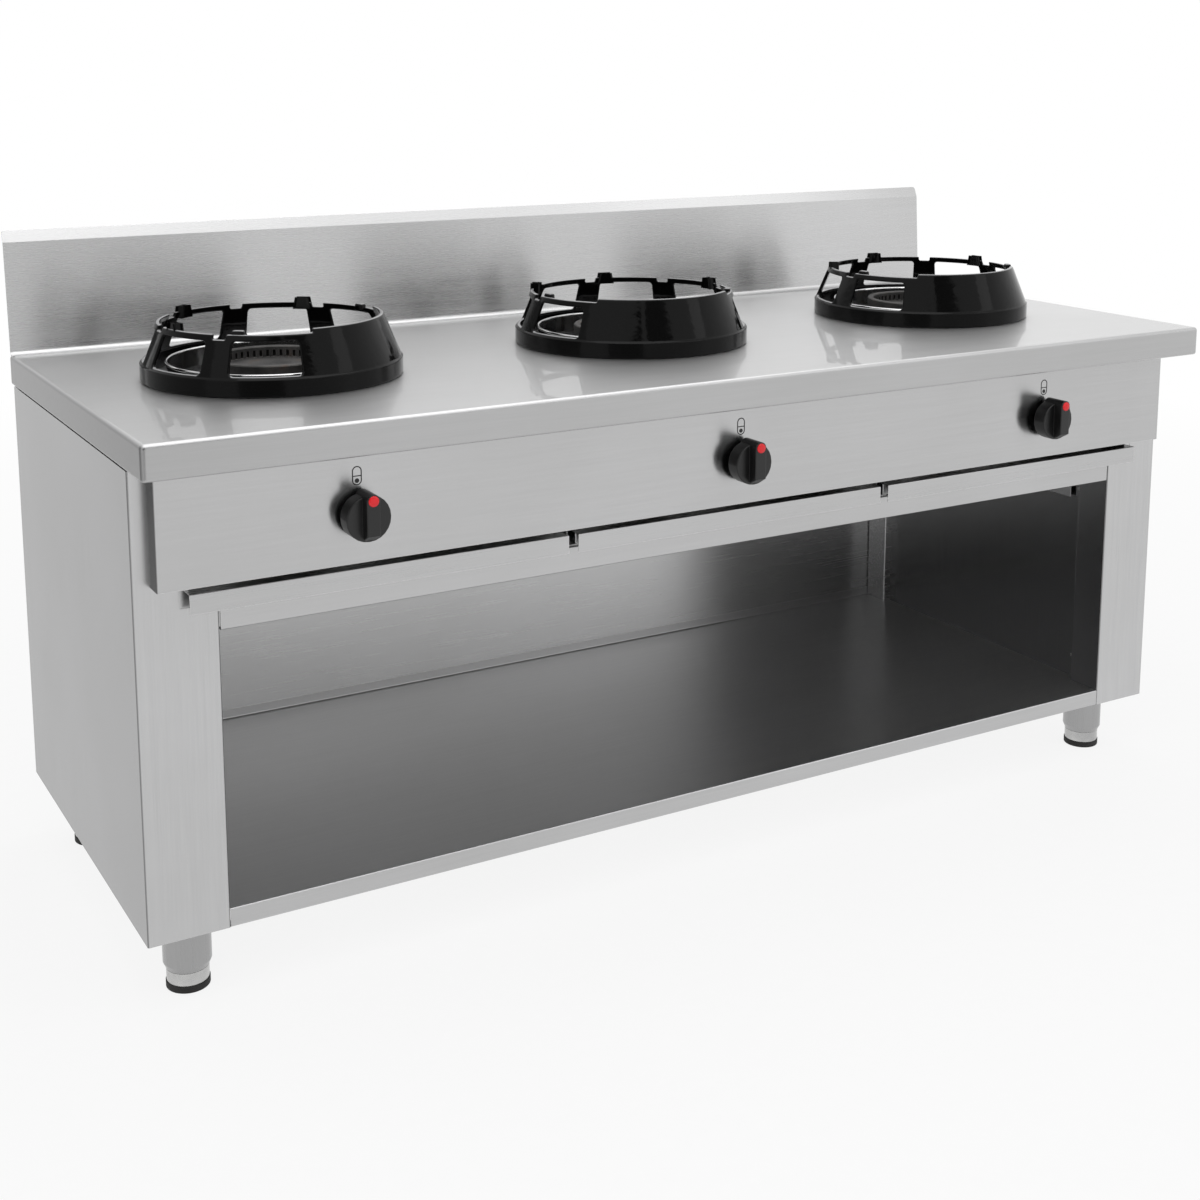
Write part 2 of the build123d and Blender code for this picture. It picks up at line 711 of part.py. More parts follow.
def make_dot(x):
    bar_front = y_at(panel_front - knob_gap) - knob_disc - knob_bar_rise
    z = knob_height + dot_height
    dot = rod((x, bar_front + dot_recess, z), (x, bar_front - dot_proud, z), dot_radius)
    return fillet(dot.edges().sort_by(Axis.Y)[0], dot_proud * 0.6)


def make_manifold():
    y = y_at(manifold_from_front)
    z = manifold_height
    left = -half_width + manifold_end_inset
    riser = cabinet_half - riser_inset
    end_y = y_at(overall_depth)
    thread_y = end_y - thread_length
    pipe = tube([(left, y, z), (riser, y, z), (riser, thread_y, z)], manifold_radius,
                manifold_radius - manifold_wall, pipe_bend)
    cap = rod((left - manifold_wall, y, z), (left, y, z), manifold_radius)
    thread = rod((riser, thread_y, z), (riser, end_y, z), thread_radius)
    thread -= rod((riser, thread_y, z), (riser, end_y, z), manifold_radius - manifold_wall)
    nut_y = y_at(cabinet_depth)
    locknut = rod((riser, nut_y, z), (riser, nut_y + locknut_width, z), locknut_radius)
    locknut -= rod((riser, nut_y, z), (riser, nut_y + locknut_width, z),
                   manifold_radius - manifold_wall)
    form = pipe + cap + thread + locknut
    for x in burner_x:
        form -= rod((x, y, z), (x, y, z + 2 * manifold_radius), tap_spigot_radius)
    return form


def make_feed_pipes():
    pipes = []
    for x in burner_x:
        start = y_at(tap_rear)
        rise = start + feed_reach
        end = rise + 2 * feed_bend
        pipes.append(tube([(x, start, knob_height), (x, rise, knob_height),
                           (x, rise, mixer_height), (x, end, mixer_height)],
                          feed_radius, feed_bore, feed_bend))
    return pipes


def make_injectors():
    injectors = []
    start = y_at(tap_rear) + feed_reach + 2 * feed_bend
    for x in burner_x:
        jet = rod((x, start, mixer_height), (x, start + injector_length, mixer_height),
                  injector_radius)
        jet -= rod((x, start, mixer_height), (x, start + injector_length, mixer_height),
                   injector_bore)
        injectors.append(jet)
    return injectors


def make_pilots():
    pilots = []
    strap_z = burner_seat + burner_bowl_height * 0.7
    for x in burner_x:
        head_x, head_y = x - pilot_side, burner_y - pilot_front
        strap = block(x - pilot_side - 8, x + pilot_side + 8, head_y - 6, head_y + 36,
                      strap_z, strap_z + pilot_strap_thickness)
        strap -= rod((x, burner_y, 0), (x, burner_y, worktop_height), burner_radius)
        strap -= rod((x + pilot_side, head_y, 0), (x + pilot_side, head_y, worktop_height),
                     sensor_radius)
        head = rod((head_x, head_y, strap_z - 12), (head_x, head_y, worktop_height + 10),
                   pilot_head_radius)
        tap_y = y_at(tap_rear)
        lead = tube([(head_x, head_y, strap_z - 12), (head_x, head_y, burner_seat - 10),
                     (head_x, tap_y + 30, burner_seat - 10),
                     (x - tap_half_width * 0.7, tap_y + 30, knob_height + 8),
                     (x - tap_half_width * 0.7, tap_y, knob_height + 8)],
                    pilot_tube_radius, 0, lead_bend)
        pilots.append(strap + head + lead)
    return pilots


def make_sensors():
    sensors = []
    strap_z = burner_seat + burner_bowl_height * 0.7
    for x in burner_x:
        tip_x, tip_y = x + pilot_side, burner_y - pilot_front
        tip = rod((tip_x, tip_y, strap_z - 12), (tip_x, tip_y, worktop_height + 12),
                  sensor_radius)
        tap_y = y_at(tap_rear)
        lead = tube([(tip_x, tip_y, strap_z - 12), (tip_x, tip_y, burner_seat - 10),
                     (tip_x, tap_y + 30, burner_seat - 10),
                     (x + tap_half_width * 0.7, tap_y + 30, knob_height + 8),
                     (x + tap_half_width * 0.7, tap_y, knob_height + 8)],
                    sensor_lead_radius, 0, lead_bend)
        sensors.append(tip + lead)
    return sensors


# ---------------------------------------------------------------- legs
leg_x = cabinet_half - leg_inset
leg_ys = {"front": y_at(cabinet_front + leg_inset), "rear": y_at(cabinet_depth - leg_inset)}


def make_leg(x, y):
    outer = [(0, leg_height), (leg_radius, leg_height), (leg_radius, leg_taper_height),
             (leg_neck_radius, leg_neck_height)]
    inner = [(leg_neck_radius - leg_wall, leg_neck_height),
             (leg_radius - leg_wall, leg_taper_height + leg_wall),
             (leg_radius - leg_wall, leg_height - 2 * leg_wall),
             (nut_radius, leg_height - 2 * leg_wall), (nut_radius, leg_height - nut_length),
             (0, leg_height - nut_length)]
    leg = turned(outer + inner, x, y, 0)
    return leg - rod((x, y, 0), (x, y, leg_height), foot_rod_radius + foot_rod_clearance)


def make_foot_insert(x, y):
    grip = rod((x, y, pad_height), (x, y, foot_top), foot_radius)
    return grip + rod((x, y, foot_top), (x, y, foot_rod_end), foot_rod_radius)


def make_foot_pad(x, y):
    pad = rod((x, y, 0), (x, y, pad_height), pad_radius)
    return fillet(pad.edges().sort_by(Axis.Z)[0], fold_radius * 0.6)


# ---------------------------------------------------------------- write every node
write("worktop", make_worktop())
write("splashback", make_splashback())
for name, piece in zip(("left", "right"), both_sides(make_side_panel())):
    write(f"side_panel_{name}", piece)
for name, piece in zip(("left", "right"), both_sides(make_side_liner())):
    write(f"side_liner_{name}", piece)
for name, piece in zip(("left", "right"), both_sides(make_rear_post())):
    write(f"rear_post_{name}", piece)
write("back_panel", make_back_panel())
write("bottom_shelf", make_shelf())
write("front_rail", make_front_rail())
write("rear_rails", make_rear_rails())
write("control_panel", make_control_panel())
write("tray_guides", make_tray_guides())
write("liner_screws", make_liner_screws())
for i, name in enumerate(side_names):
    write(f"burner_collar_{name}", make_collar(burner_x[i]))
    write(f"burner_body_{name}", make_burner_body(burner_x[i]))
    write(f"burner_crown_{name}", make_burner_crown(burner_x[i]))
    write(f"wok_stand_{name}", make_wok_stand(burner_x[i], stand_turns[i]))
    write(f"drip_tray_{name}", make_drip_tray(tray_x[i]))
    write(f"gas_tap_{name}", make_tap(burner_x[i]))
    write(f"tap_plug_{name}", make_plug(burner_x[i]))
    write(f"tap_spindle_{name}", make_spindle(burner_x[i]))
    write(f"knob_{name}", make_knob(burner_x[i]))
    write(f"knob_dot_{name}", make_dot(burner_x[i]))
write("burner_brackets", make_burner_brackets())
write("gas_manifold", make_manifold())
write("feed_pipes", make_feed_pipes())
write("injectors", make_injectors())
write("pilot_burners", make_pilots())
write("flame_sensors", make_sensors())
legs = [make_leg(side * leg_x, y) for side in (-1, 1) for y in leg_ys.values()]
write("leg_tubes", legs)
for row, y in leg_ys.items():
    for name, side in (("left", -1), ("right", 1)):
        write(f"foot_insert_{row}_{name}", make_foot_insert(side * leg_x, y))
        write(f"foot_pad_{row}_{name}", make_foot_pad(side * leg_x, y))
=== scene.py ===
import math
import bmesh
import bpy
from mathutils import Matrix, Vector


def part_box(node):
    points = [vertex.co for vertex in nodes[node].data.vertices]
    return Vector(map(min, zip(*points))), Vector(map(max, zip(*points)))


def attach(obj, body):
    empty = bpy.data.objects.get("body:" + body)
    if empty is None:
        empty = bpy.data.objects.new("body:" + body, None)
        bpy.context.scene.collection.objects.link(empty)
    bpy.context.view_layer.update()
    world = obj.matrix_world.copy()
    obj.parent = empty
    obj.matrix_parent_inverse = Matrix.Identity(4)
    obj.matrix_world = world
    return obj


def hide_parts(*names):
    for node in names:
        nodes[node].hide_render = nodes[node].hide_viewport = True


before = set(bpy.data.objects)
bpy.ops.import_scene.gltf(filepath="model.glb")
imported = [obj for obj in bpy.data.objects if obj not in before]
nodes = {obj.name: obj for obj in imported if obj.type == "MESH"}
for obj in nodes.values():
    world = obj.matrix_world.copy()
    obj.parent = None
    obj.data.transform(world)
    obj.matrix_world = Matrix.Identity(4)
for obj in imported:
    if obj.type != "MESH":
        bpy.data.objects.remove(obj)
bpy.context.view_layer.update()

scene = bpy.context.scene
SIDES = ("left", "middle", "right")


# ---------------------------------------------------------------- node helpers
EDGE_TURNED, EDGE_FLAT = 0.80, 0.99     # how far two normals agree on an edge and beside it


def add(tree, kind, **values):
    """A new node; each value goes to the property of that name, or else to that input."""
    made = tree.nodes.new(kind)
    for key, value in values.items():
        if hasattr(made, key):
            setattr(made, key, value)
        else:
            made.inputs[key.replace("_", " ")].default_value = value
    return made


def link(tree, source, target):
    """Join an output to an input."""
    tree.links.new(source, target)


def feed(tree, value, target):
    """Give an input its value, which is a socket or a constant."""
    if hasattr(value, "links"):
        link(tree, value, target)
    else:
        target.default_value = value


def maths(tree, operation, *values):
    """A Math node of sockets and numbers; returns its value."""
    made = add(tree, "ShaderNodeMath", operation=operation)
    for value, target in zip(values, made.inputs):
        feed(tree, value, target)
    return made.outputs[0]


def vector_math(tree, operation, *values):
    """A Vector Math node of sockets and vectors."""
    made = add(tree, "ShaderNodeVectorMath", operation=operation)
    for value, target in zip(values, made.inputs):
        feed(tree, value, target)
    return made


def material(name):
    """A new material with its node tree and its shader."""
    made = bpy.data.materials.new(name)
    made.use_nodes = True
    tree = made.node_tree
    return made, tree, tree.nodes["Principled BSDF"]


def own_coords(tree):
    """The object's own coordinates, in metres."""
    return add(tree, "ShaderNodeTexCoord").outputs["Object"]


def noise(tree, coords, scale, stretch=(1, 1, 1), detail=3.0, rough=0.55):
    """Noise over the object's own coordinates, in cycles a metre."""
    mapping = add(tree, "ShaderNodeMapping")
    mapping.inputs["Scale"].default_value = stretch
    link(tree, coords, mapping.inputs["Vector"])
    made = add(tree, "ShaderNodeTexNoise", Scale=scale, Detail=detail, Roughness=rough)
    link(tree, mapping.outputs["Vector"], made.inputs["Vector"])
    return made.outputs["Fac"]


def spread(tree, value, low, high, start=0.3, end=0.7):
    """The value's range start..end turned into low..high."""
    made = add(tree, "ShaderNodeMapRange")
    for key, number in (("From Min", start), ("From Max", end), ("To Min", low), ("To Max", high)):
        made.inputs[key].default_value = number
    link(tree, value, made.inputs["Value"])
    return made.outputs["Result"]


def shades(tree, value, colours):
    """A colour ramp with (position, colour) stops."""
    ramp = add(tree, "ShaderNodeValToRGB")
    stops = ramp.color_ramp.elements
    stops[0].position, stops[0].color = colours[0][0], (*colours[0][1], 1)
    stops[1].position, stops[1].color = colours[-1][0], (*colours[-1][1], 1)
    for position, colour in colours[1:-1]:
        stops.new(position).color = (*colour, 1)
    link(tree, value, ramp.inputs["Fac"])
    return ramp.outputs["Color"]


def surfaced(tree, shader, colour, rough):
    """Give the shader its colour and its roughness, both of them sockets."""
    link(tree, colour, shader.inputs["Base Color"])
    link(tree, rough, shader.inputs["Roughness"])


def mixed(tree, factor, one, two, kind="MIX"):
    """Colour one mixed with colour two; each is a socket or a colour."""
    made = add(tree, "ShaderNodeMix", data_type="RGBA", blend_type=kind)
    factor_input, first_colour, second_colour = made.inputs[0], made.inputs[6], made.inputs[7]
    feed(tree, factor, factor_input)
    for colour, target in ((one, first_colour), (two, second_colour)):
        feed(tree, (*colour, 1) if isinstance(colour, tuple) else colour, target)
    return made.outputs[2]


def edge_normal(tree, radius):
    """The surface's normal, turned smoothly round edges within the radius."""
    made = add(tree, "ShaderNodeBevel", samples=4)
    made.inputs["Radius"].default_value = radius
    return made.outputs["Normal"]


def bumped(tree, shader, layers, edge=0.0):
    """Bumps in layers of (height socket, metres) over edges rounded by the given radius."""
    normal = edge_normal(tree, edge) if edge else None
    for height, depth in layers:
        bump = add(tree, "ShaderNodeBump", Strength=1.0, Distance=depth)
        link(tree, height, bump.inputs["Height"])
        if normal:
            link(tree, normal, bump.inputs["Normal"])
        normal = bump.outputs["Normal"]
    if normal:
        link(tree, normal, shader.inputs["Normal"])


def edge_mask(tree, radius):
    """1 on edges and 0 on flats; the edges take wear, and on brushed steel a painted highlight too.
    """
    flat = add(tree, "ShaderNodeNewGeometry").outputs["True Normal"]
    agreement = vector_math(tree, "DOT_PRODUCT", edge_normal(tree, radius), flat)
    return spread(tree, agreement.outputs["Value"], 1.0, 0.0, EDGE_TURNED, EDGE_FLAT)


# ---------------------------------------------------------------- materials
X, Z = 0, 2                                                 # the axes that a grain runs along
FINE_LINES, BROAD_LINES, CLOUDS = 900.0, 170.0, 3.2         # cycles a metre
FINE_STRETCH, BROAD_STRETCH = 0.012, 0.03                   # along the grain, as a share
FINE_DEPTH, BROAD_DEPTH = 0.0000008, 0.0000004              # metres
LINE_DARK_AT, LINE_LIGHT_AT = 0.35, 0.65
CLOUD_DARK_AT, CLOUD_LIGHT_AT, CLOUD_BLUE = 0.3, 0.7, 0.1
SMOOTHER, ROUGHER = 0.015, 0.02                             # in the dark and the light lines
WEAR_AND_GLINT_REACH = 1.5                                            # of the edge's rounding, for the wear and the painted highlight
BRIGHTEST = 0.95
ACROSS_THE_GRAIN = 0.25                                     # of a full turn
COAT_ROUGHNESS = 0.03


def painted_shade_by_facing(tree, painted_facing_light, fold_shade):
    """Painted shade: how light a sheet is painted by the way it faces, with upright folds painted
    darker.
    """
    normal = add(tree, "ShaderNodeNewGeometry").outputs["Normal"]
    square = vector_math(tree, "MULTIPLY", normal, normal).outputs["Vector"]
    share = vector_math(tree, "DOT_PRODUCT", square, painted_facing_light).outputs["Value"]
    if not fold_shade:
        return share
    split = add(tree, "ShaderNodeSeparateXYZ")
    link(tree, square, split.inputs[0])
    turned = maths(tree, "MULTIPLY", split.outputs["X"], split.outputs["Y"])
    return maths(tree, "MULTIPLY_ADD", turned, -fold_shade, share)


def brushed(name, tone, roughness, grain, edge=0.0006, anisotropy=0.0, cloud=0.05, line=0.03,
            edge_wear_and_glint=1.25, painted_facing_light=None, fold_shade=0.0, coat=0.0):
    """Brushed stainless sheet; grain is the axis that the brushing runs along, painted_facing_light
    gives the painted shade, how light the sheets that face x, y and z are against each other,
    fold_shade how much darker an upright fold is painted, and edge_wear_and_glint how much
    lighter the edges are, by wear and by a painted highlight."""
    made, tree, shader = material(name)
    coords = own_coords(tree)
    stretch = [1.0, 1.0, 1.0]
    stretch[grain] = FINE_STRETCH
    fine = noise(tree, coords, FINE_LINES, tuple(stretch), detail=4.0)
    stretch[grain] = BROAD_STRETCH
    broad = noise(tree, coords, BROAD_LINES, tuple(stretch), detail=3.0)
    clouds = noise(tree, coords, CLOUDS, detail=4.0)
    lines = mixed(tree, 0.5, fine, broad)
    dark, light = (tone * (1 - line),) * 3, (tone * (1 + line),) * 3
    colour = shades(tree, lines, [(LINE_DARK_AT, dark), (LINE_LIGHT_AT, light)])
    shade = shades(tree, clouds, [(CLOUD_DARK_AT, (1 - cloud,) * 3),
                                  (CLOUD_LIGHT_AT, (1.0, 1.0, 1.0 + cloud * CLOUD_BLUE))])
    colour = mixed(tree, 1.0, colour, shade, "MULTIPLY")
    # edges lighter by wear and by a painted highlight along the bends
    edge_colour = (min(tone * edge_wear_and_glint, BRIGHTEST),) * 3
    colour = mixed(tree, edge_mask(tree, edge * WEAR_AND_GLINT_REACH), colour, edge_colour)
    # painted shade: sheets darker or lighter by the way they face, and upright folds darker
    if painted_facing_light:
        colour = mixed(tree, 1.0, colour, painted_shade_by_facing(tree, painted_facing_light, fold_shade), "MULTIPLY")
    rough = spread(tree, lines, roughness - SMOOTHER, roughness + ROUGHER,
                   LINE_DARK_AT, LINE_LIGHT_AT)
    surfaced(tree, shader, colour, rough)
    shader.inputs["Metallic"].default_value = 1.0
    if coat:
        shader.inputs["Coat Weight"].default_value = coat
        shader.inputs["Coat Roughness"].default_value = COAT_ROUGHNESS
    if anisotropy:
        shader.inputs["Anisotropic"].default_value = anisotropy
        shader.inputs["Anisotropic Rotation"].default_value = ACROSS_THE_GRAIN
        tangent = add(tree, "ShaderNodeCombineXYZ")
        tangent.inputs[grain].default_value = 1.0
        link(tree, tangent.outputs[0], shader.inputs["Tangent"])
    bumped(tree, shader, [(fine, FINE_DEPTH), (broad, BROAD_DEPTH)], edge)
    return made


# noises in cycles a metre, depths, heights and reaches of wear in metres
PEEL, PINHOLES, PEEL_DEPTH, PINHOLE_DEPTH = 55.0, 900.0, 0.00025, 0.000006
# the enamel's painted highlight: a light grey on the edges that face up
ENAMEL_GLINT_PAINT, ENAMEL_SHINE = (0.36, 0.36, 0.365), 0.14
UP_FROM, UP_FULL = 0.74, 0.88           # how far up an edge faces before it gets the painted highlight
LUG_SHADE_HEIGHT = 0.0872               # above the worktop, where the raised lugs' tops begin
# on the lugs' tops the painted highlight is cut to half
LUG_SHADE, LUG_SHADE_BLEND = 0.5, 0.001
SMEARS, PLASTIC_WEAR, PLASTIC_WORN, PLASTIC_SPREAD = 30.0, 0.001, 1.8, 0.06
SAND, HEAT, SAND_DEPTH, IRON_METALLIC, IRON_WEAR = 450.0, 28.0, 0.0003, 0.6, 0.001
HEAT_STAIN, BARE_IRON = (0.10, 0.055, 0.03), (0.22, 0.21, 0.20)
TOOL_STRETCH, TARNISH, TOOL_DEPTH = (1, 0.1, 1), 24.0, 0.00004
METAL_WEAR, METAL_WORN, METAL_SMOOTHER, METAL_ROUGHER = 0.0006, 1.3, 0.07, 0.1
RUBBER_GRAIN, DUST, RUBBER_DEPTH = 1300.0, 18.0, 0.00008
INK_DOTS, INK_DEPTH = 2200.0, 0.00001


def enamel(name):
    """Glossy black enamel over cast iron: a faint orange peel, pinholes, and a painted highlight
    of light grey on the edges that face up, at half strength on the lugs' tops."""
    made, tree, shader = material(name)
    coords = own_coords(tree)
    peel = noise(tree, coords, PEEL, detail=2.0)
    grain = noise(tree, coords, PINHOLES, detail=2.0)
    colour = shades(tree, grain, [(0.3, (0.0015, 0.0015, 0.0015)), (0.62, (0.003, 0.003, 0.003)),
                                  (0.9, (0.012, 0.012, 0.012))])
    painted_facing_light = add(tree, "ShaderNodeSeparateXYZ")
    link(tree, add(tree, "ShaderNodeNewGeometry").outputs["Normal"], painted_facing_light.inputs[0])
    height = add(tree, "ShaderNodeSeparateXYZ")
    link(tree, coords, height.inputs[0])
    lugs_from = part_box("worktop")[1].z + LUG_SHADE_HEIGHT
    below_lugs = spread(tree, height.outputs["Z"], 1.0, LUG_SHADE,
                        lugs_from, lugs_from + LUG_SHADE_BLEND)
    # painted highlight on the edges that face up, weaker on the lugs' tops
    painted_glint = maths(tree, "MULTIPLY", spread(tree, painted_facing_light.outputs["Z"], 0.0, 1.0, UP_FROM, UP_FULL),
                 below_lugs)
    colour = mixed(tree, painted_glint, colour, ENAMEL_GLINT_PAINT)
    surfaced(tree, shader, colour, spread(tree, peel, 0.05, 0.12))
    shader.inputs["Specular IOR Level"].default_value = ENAMEL_SHINE
    bumped(tree, shader, [(peel, PEEL_DEPTH), (grain, PINHOLE_DEPTH)])
    return made


def plastic(name, dark, light, roughness, texture=1800.0, depth=0.00004, edge=0.0005):
    """Moulded plastic with a fine eroded texture."""
    made, tree, shader = material(name)
    coords = own_coords(tree)
    erosion = noise(tree, coords, texture, detail=3.0)
    smears = noise(tree, coords, SMEARS, detail=3.0)
    colour = shades(tree, smears, [(0.3, dark), (0.7, light)])
    edge_colour = tuple(c * PLASTIC_WORN for c in light)
    colour = mixed(tree, edge_mask(tree, PLASTIC_WEAR), colour, edge_colour)
    surfaced(tree, shader, colour,
             spread(tree, smears, roughness - PLASTIC_SPREAD, roughness + PLASTIC_SPREAD))
    bumped(tree, shader, [(erosion, depth)], edge)
    return made


def cast_iron(name, dark, light):
    """Sand-cast iron with heat stains and lighter edges."""
    made, tree, shader = material(name)
    coords = own_coords(tree)
    sand = noise(tree, coords, SAND, detail=5.0, rough=0.7)
    heat = noise(tree, coords, HEAT, detail=4.0)
    colour = shades(tree, heat, [(0.3, dark), (0.6, light), (0.85, HEAT_STAIN)])
    colour = mixed(tree, edge_mask(tree, IRON_WEAR), colour, BARE_IRON)
    surfaced(tree, shader, colour, spread(tree, sand, 0.5, 0.75))
    shader.inputs["Metallic"].default_value = IRON_METALLIC
    bumped(tree, shader, [(sand, SAND_DEPTH)], edge=0.0006)
    return made


def cast_metal(name, dark, light, roughness, scale=240.0):
    """Machined brass, copper pipe and the like, with tarnish in clouds."""
    made, tree, shader = material(name)
    coords = own_coords(tree)
    tool = noise(tree, coords, scale, TOOL_STRETCH, detail=3.0)
    tarnish = noise(tree, coords, TARNISH, detail=4.0)
    colour = shades(tree, tarnish, [(0.3, dark), (0.7, light)])
    edge_colour = tuple(min(c * METAL_WORN, BRIGHTEST) for c in light)
    colour = mixed(tree, edge_mask(tree, METAL_WEAR), colour, edge_colour)
    surfaced(tree, shader, colour,
             spread(tree, tool, roughness - METAL_SMOOTHER, roughness + METAL_ROUGHER))
    shader.inputs["Metallic"].default_value = 1.0
    bumped(tree, shader, [(tool, TOOL_DEPTH)], edge=0.0004)
    return made


def rubber(name):
    """Black rubber with a fine grain and some dust."""
    made, tree, shader = material(name)
    coords = own_coords(tree)
    grain = noise(tree, coords, RUBBER_GRAIN, detail=3.0)
    dust = noise(tree, coords, DUST, detail=4.0)
    colour = shades(tree, dust, [(0.35, (0.008, 0.008, 0.008)), (0.75, (0.022, 0.021, 0.020))])
    surfaced(tree, shader, colour, spread(tree, grain, 0.62, 0.85))
    bumped(tree, shader, [(grain, RUBBER_DEPTH)], edge=0.0008)
    return made


def print_ink(name):
    """Screen-printed ink, a little uneven."""
    made, tree, shader = material(name)
    coords = own_coords(tree)
    dots = noise(tree, coords, INK_DOTS, detail=2.0)
    colour = shades(tree, dots, [(0.3, (0.010, 0.010, 0.011)), (0.8, (0.03, 0.03, 0.031))])
    surfaced(tree, shader, colour, spread(tree, dots, 0.38, 0.55))
    bumped(tree, shader, [(dots, INK_DEPTH)])
    return made


# painted shade: the worktop's ends and front bend are painted darker than its top
TOP_STEEL = brushed("worktop_steel", tone=0.56, roughness=0.42, grain=X, edge=0.0008,
                    painted_facing_light=(0.25, 0.86, 1.0), coat=0.6)
SPLASH_STEEL = brushed("splashback_steel", tone=0.57, roughness=0.27, grain=X, anisotropy=0.8,
                       line=0.02)
# edges at 1.8 times the tone: painted bright highlight lines along the folds
FRONT_STEEL = brushed("front_steel", tone=0.51, roughness=0.22, grain=X, anisotropy=0.7,
                      line=0.02, edge_wear_and_glint=1.8)
# a shaded copy of the front steel: its sheets that face sideways are painted nearly black with
# shade
SHADED_PANEL_STEEL = brushed("panel_steel_painted_shade", tone=0.51, roughness=0.22, grain=X, anisotropy=0.7,
                      line=0.02, edge_wear_and_glint=1.8, painted_facing_light=(0.10, 1.0, 1.0))
# painted shade: the side panels are painted darker than the posts' fronts, and the upright folds
# darker still
SIDE_STEEL = brushed("side_steel", tone=0.56, roughness=0.24, grain=Z, anisotropy=0.4,
                     cloud=0.09, painted_facing_light=(0.58, 1.0, 1.0), fold_shade=1.6)
BACK_STEEL = brushed("back_steel", tone=0.60, roughness=0.26, grain=X, anisotropy=0.5, line=0.02)
# painted shade: the liners get about half the outer steel's tone, for the shade inside the cabinet,
# and painted highlights along their edges
SHADED_INNER_STEEL = brushed("inner_steel", tone=0.27, roughness=0.20, grain=Z, edge_wear_and_glint=1.6)
# painted shade on the sheets that face front or back, and a painted highlight along the edges
SHELF_STEEL = brushed("shelf_steel", tone=0.62, roughness=0.30, grain=X, anisotropy=0.4,
                      edge_wear_and_glint=1.5, painted_facing_light=(1.0, 0.84, 1.0))
COLLAR_STEEL = brushed("collar_steel", tone=0.66, roughness=0.16, grain=Z, cloud=0.03)
# edges at 1.8 times the tone: painted bright highlight lines along the tray's folds
TRAY_STEEL = brushed("tray_steel", tone=0.52, roughness=0.28, grain=X, edge_wear_and_glint=1.8)
LEG_STEEL = brushed("leg_steel", tone=0.37, roughness=0.28, grain=Z)
SCREW_STEEL = cast_metal("screw_steel", dark=(0.50, 0.50, 0.50), light=(0.64, 0.64, 0.63),
                         roughness=0.28, scale=500.0)
PIPE_STEEL = cast_metal("pipe_steel", dark=(0.20, 0.20, 0.20), light=(0.34, 0.33, 0.32),
                        roughness=0.42, scale=90.0)
SPINDLE_STEEL = cast_metal("spindle_steel", dark=(0.42, 0.42, 0.42), light=(0.58, 0.58, 0.57),
                           roughness=0.25, scale=700.0)
TAP_BRASS = cast_metal("tap_brass", dark=(0.52, 0.36, 0.14), light=(0.72, 0.52, 0.24),
                       roughness=0.32)
PLUG_BRASS = cast_metal("plug_brass", dark=(0.55, 0.38, 0.15), light=(0.76, 0.56, 0.26),
                        roughness=0.22)
JET_BRASS = cast_metal("injector_brass", dark=(0.58, 0.42, 0.17), light=(0.78, 0.58, 0.28),
                       roughness=0.24)
COPPER = cast_metal("feed_copper", dark=(0.48, 0.20, 0.11), light=(0.72, 0.36, 0.22),
                    roughness=0.30, scale=120.0)
ENAMEL = enamel("stand_enamel")
BURNER_IRON = cast_iron("burner_iron", dark=(0.045, 0.043, 0.042), light=(0.10, 0.095, 0.09))
CROWN_IRON = cast_iron("crown_iron", dark=(0.03, 0.03, 0.03), light=(0.075, 0.072, 0.07))
KNOB_BLACK = plastic("knob_black", dark=(0.004, 0.004, 0.004), light=(0.008, 0.008, 0.008),
                     roughness=0.36)
DOT_RED = plastic("dot_red", dark=(0.72, 0.006, 0.012), light=(0.86, 0.012, 0.02),
                  roughness=0.25, texture=900.0, depth=0.00001)
RUBBER = rubber("foot_rubber")
INK = print_ink("panel_ink")

FINISHES = {
    "worktop": TOP_STEEL, "splashback": SPLASH_STEEL, "control_panel": SHADED_PANEL_STEEL,
    "front_rail": FRONT_STEEL, "side_panel": SIDE_STEEL, "side_liner": SHADED_INNER_STEEL,
    "rear_post": BACK_STEEL, "back_panel": BACK_STEEL, "bottom_shelf": SHELF_STEEL,
    "rear_rails": SHELF_STEEL, "tray_guides": SHELF_STEEL, "liner_screws": SCREW_STEEL,
    "burner_collar": COLLAR_STEEL, "burner_body": BURNER_IRON, "burner_crown": CROWN_IRON,
    "wok_stand": ENAMEL, "drip_tray": TRAY_STEEL, "gas_tap": TAP_BRASS, "tap_plug": PLUG_BRASS,
    "tap_spindle": SPINDLE_STEEL, "knob_dot": DOT_RED, "knob": KNOB_BLACK,
    "burner_brackets": SHELF_STEEL, "gas_manifold": PIPE_STEEL, "feed_pipes": COPPER,
    "injectors": JET_BRASS, "pilot_burners": COPPER, "flame_sensors": COPPER,
    "leg_tubes": LEG_STEEL, "foot_insert": SPINDLE_STEEL, "foot_pad": RUBBER,
}


def finish_of(name):
    """The finish with the longest name that the node's own name starts with."""
    return FINISHES[max((start for start in FINISHES if name.startswith(start)), key=len)]


for name, node in nodes.items():
    for place in node.material_slots:
        place.link = "OBJECT"
        place.material = finish_of(name)


# ---------------------------------------------------------------- mesh helpers
CORNER_STEP = 15                        # degrees that each step of a rounded corner turns
NEARLY_STRAIGHT = math.pi - 0.01        # a corner this open stays as it is
SHARE_OF_SIDE = 0.49                    # the most that one corner takes of the side beside it
WELD, BENT_WELD = 1e-6, 2e-6            # metres within which two points are one


